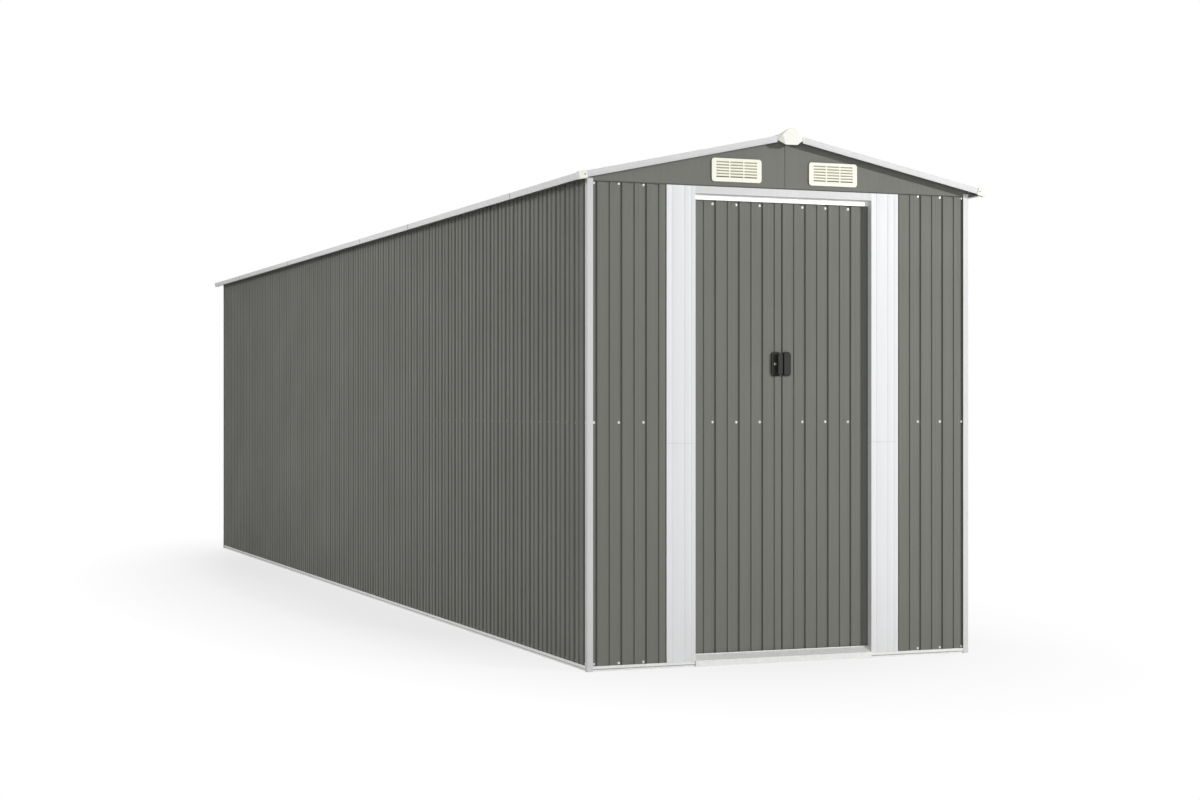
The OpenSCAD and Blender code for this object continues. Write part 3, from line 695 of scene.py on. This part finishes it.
# Laps where the lengths of the eave trims join, as distances from the front wall
EAVE_JOINTS = (0.82, 2.45, 3.43, 5.27, 6.84)
FASCIA_H, FASCIA_LEAN = 26.4 * MM, 3.07 * MM
eave_low, eave_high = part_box("eave_trims")
for hand, side in HANDS:
    runs = [(
        (side * (eave_high.x - FASCIA_LEAN), y - HALF_D, eave_low.z),
        (side * eave_high.x, y - HALF_D, eave_low.z + FASCIA_H), LAP_RISE,
    ) for y in EAVE_JOINTS]
    outward = Vector((side * FASCIA_H, 0, -FASCIA_LEAN)).normalized()
    creases(hand + "_eave_laps", "shed", runs, outward, "white_trim", lap_grey)

# Screws in the corner caps
CAP_SCREW_RUN, CAP_SCREW_DROP = 936 * MM, 12 * MM
CAP_FACE = ROOF_HALF_D + 4.5 * MM
cap_screws = bmesh.new()
for end, outward in ((-1, FRONT), (1, REAR)):
    for _, side in HANDS:
        spot = on_slope(side, CAP_SCREW_RUN, -CAP_SCREW_DROP, end * CAP_FACE)
        head(cap_screws, spot, outward, DOMED_SCREW)
piece("corner_cap_screws", cap_screws, "shed", "zinc_steel", screw_steel)


# Light, floor and camera

AMBIENT = 0.16
FLOOR_RADIUS = 90
SHADOW_HALF_W, SHADOW_HALF_D = 2.4, 5.6  # beyond these the floor is white to the eye
SHADOW_CORE, CORE_WHITE = 0.6, 0.72  # within this share of them it is this much white


def lamp(name, spot, aim, size, power):
    """Rectangular light in watts that faces a point."""
    data = bpy.data.lights.new(name, "AREA")
    data.shape = "RECTANGLE"
    data.size, data.size_y = size
    data.energy = power
    made = bpy.data.objects.new(name, data)
    made.location = spot
    made.rotation_euler = (Vector(aim) - Vector(spot)).to_track_quat("-Z", "Y").to_euler()
    scene.collection.objects.link(made)


def seen_directly(tree):
    """1 where the camera, a reflection or a see-through surface looks at the background."""
    path = tree.nodes.new("ShaderNodeLightPath")
    total = path.outputs["Is Camera Ray"]
    for name in ("Is Glossy Ray", "Is Transmission Ray"):
        larger = tree.nodes.new("ShaderNodeMath")
        larger.operation = "MAXIMUM"
        tree.links.new(total, larger.inputs[0])
        tree.links.new(path.outputs[name], larger.inputs[1])
        total = larger.outputs["Value"]
    return total


def studio_air():
    """White to the eye, and a weak white light from all round."""
    world = bpy.data.worlds.new("studio_air")
    scene.world = world
    world.use_nodes = True
    tree = world.node_tree
    soft = tree.nodes["Background"]
    soft.inputs["Strength"].default_value = AMBIENT
    white = tree.nodes.new("ShaderNodeBackground")
    for light in (soft, white):
        light.inputs["Color"].default_value = (1, 1, 1, 1)
    mix = tree.nodes.new("ShaderNodeMixShader")
    tree.links.new(seen_directly(tree), mix.inputs["Fac"])
    tree.links.new(soft.outputs["Background"], mix.inputs[1])
    tree.links.new(white.outputs["Background"], mix.inputs[2])
    tree.links.new(mix.outputs["Shader"], tree.nodes["World Output"].inputs["Surface"])


def studio_floor():
    """Pale floor: white to the eye away from the shed, with the shed's soft shadow near it."""
    shape = bmesh.new()
    bmesh.ops.create_circle(shape, cap_ends=True, segments=64, radius=FLOOR_RADIUS)
    mesh = bpy.data.meshes.new("studio_floor")
    shape.to_mesh(mesh)
    shape.free()
    floor = bpy.data.objects.new("studio_floor", mesh)
    scene.collection.objects.link(floor)
    finish = Finish("pale_floor", 0.9, specular=0.0)
    finish.shader.inputs["Base Color"].default_value = srgb(232, 232, 231)
    glow = finish.node("ShaderNodeEmission")
    away = finish.node("ShaderNodeVectorMath", operation="LENGTH")
    finish.link(finish.stretched((1 / SHADOW_HALF_W, 1 / SHADOW_HALF_D, 1)), away.inputs[0])
    share = finish.spread(away.outputs["Value"], CORE_WHITE, 1.0, SHADOW_CORE, 1.0)
    mix = finish.node("ShaderNodeMixShader")
    finish.link(finish.product(share, seen_directly(finish.tree)), mix.inputs["Fac"])
    finish.link(finish.shader.outputs["BSDF"], mix.inputs[1])
    finish.link(glow.outputs["Emission"], mix.inputs[2])
    finish.link(mix.outputs["Shader"], finish.tree.nodes["Material Output"].inputs["Surface"])
    floor.data.materials.append(finish.material)


studio_air()
studio_floor()
lamp("key_softbox", (5.0, -HALF_D - 6.4, 3.3), (0.1, -HALF_D, 0.9), (0.5, 0.5), 415)
lamp("front_softbox", (-3.4, -HALF_D - 8.5, 2.4), (-0.2, -HALF_D, 0.9), (1.4, 1.4), 160)
lamp("left_bank", (-6.0, -1.0, 3.2), (-HALF_W, -1.0, 1.0), (5.2, 0.8), 130)
lamp("right_bank", (6.0, 0.4, 3.6), (HALF_W, 0.4, 1.0), (6.8, 1.0), 230)
lamp("rear_bank", (2.0, HALF_D + 6.5, 3.2), (0.0, HALF_D, 1.0), (3.6, 2.6), 420)
lamp("roof_strip", (0.0, 0.0, 6.5), (0.0, 0.0, 2.0), (1.0, 6.4), 150)

# The photo's view: a level camera, shifted a little
view = bpy.data.cameras.new("product_view")
view.sensor_width = 36
view.lens = 60.653
view.shift_y = 0.0059
camera = bpy.data.objects.new("product_view", view)
camera.location = (-3.7906, -HALF_D - 7.5939, 1.0666)
camera.rotation_euler = (math.radians(90), 0, math.radians(-21.2972))
scene.collection.objects.link(camera)
scene.camera = camera
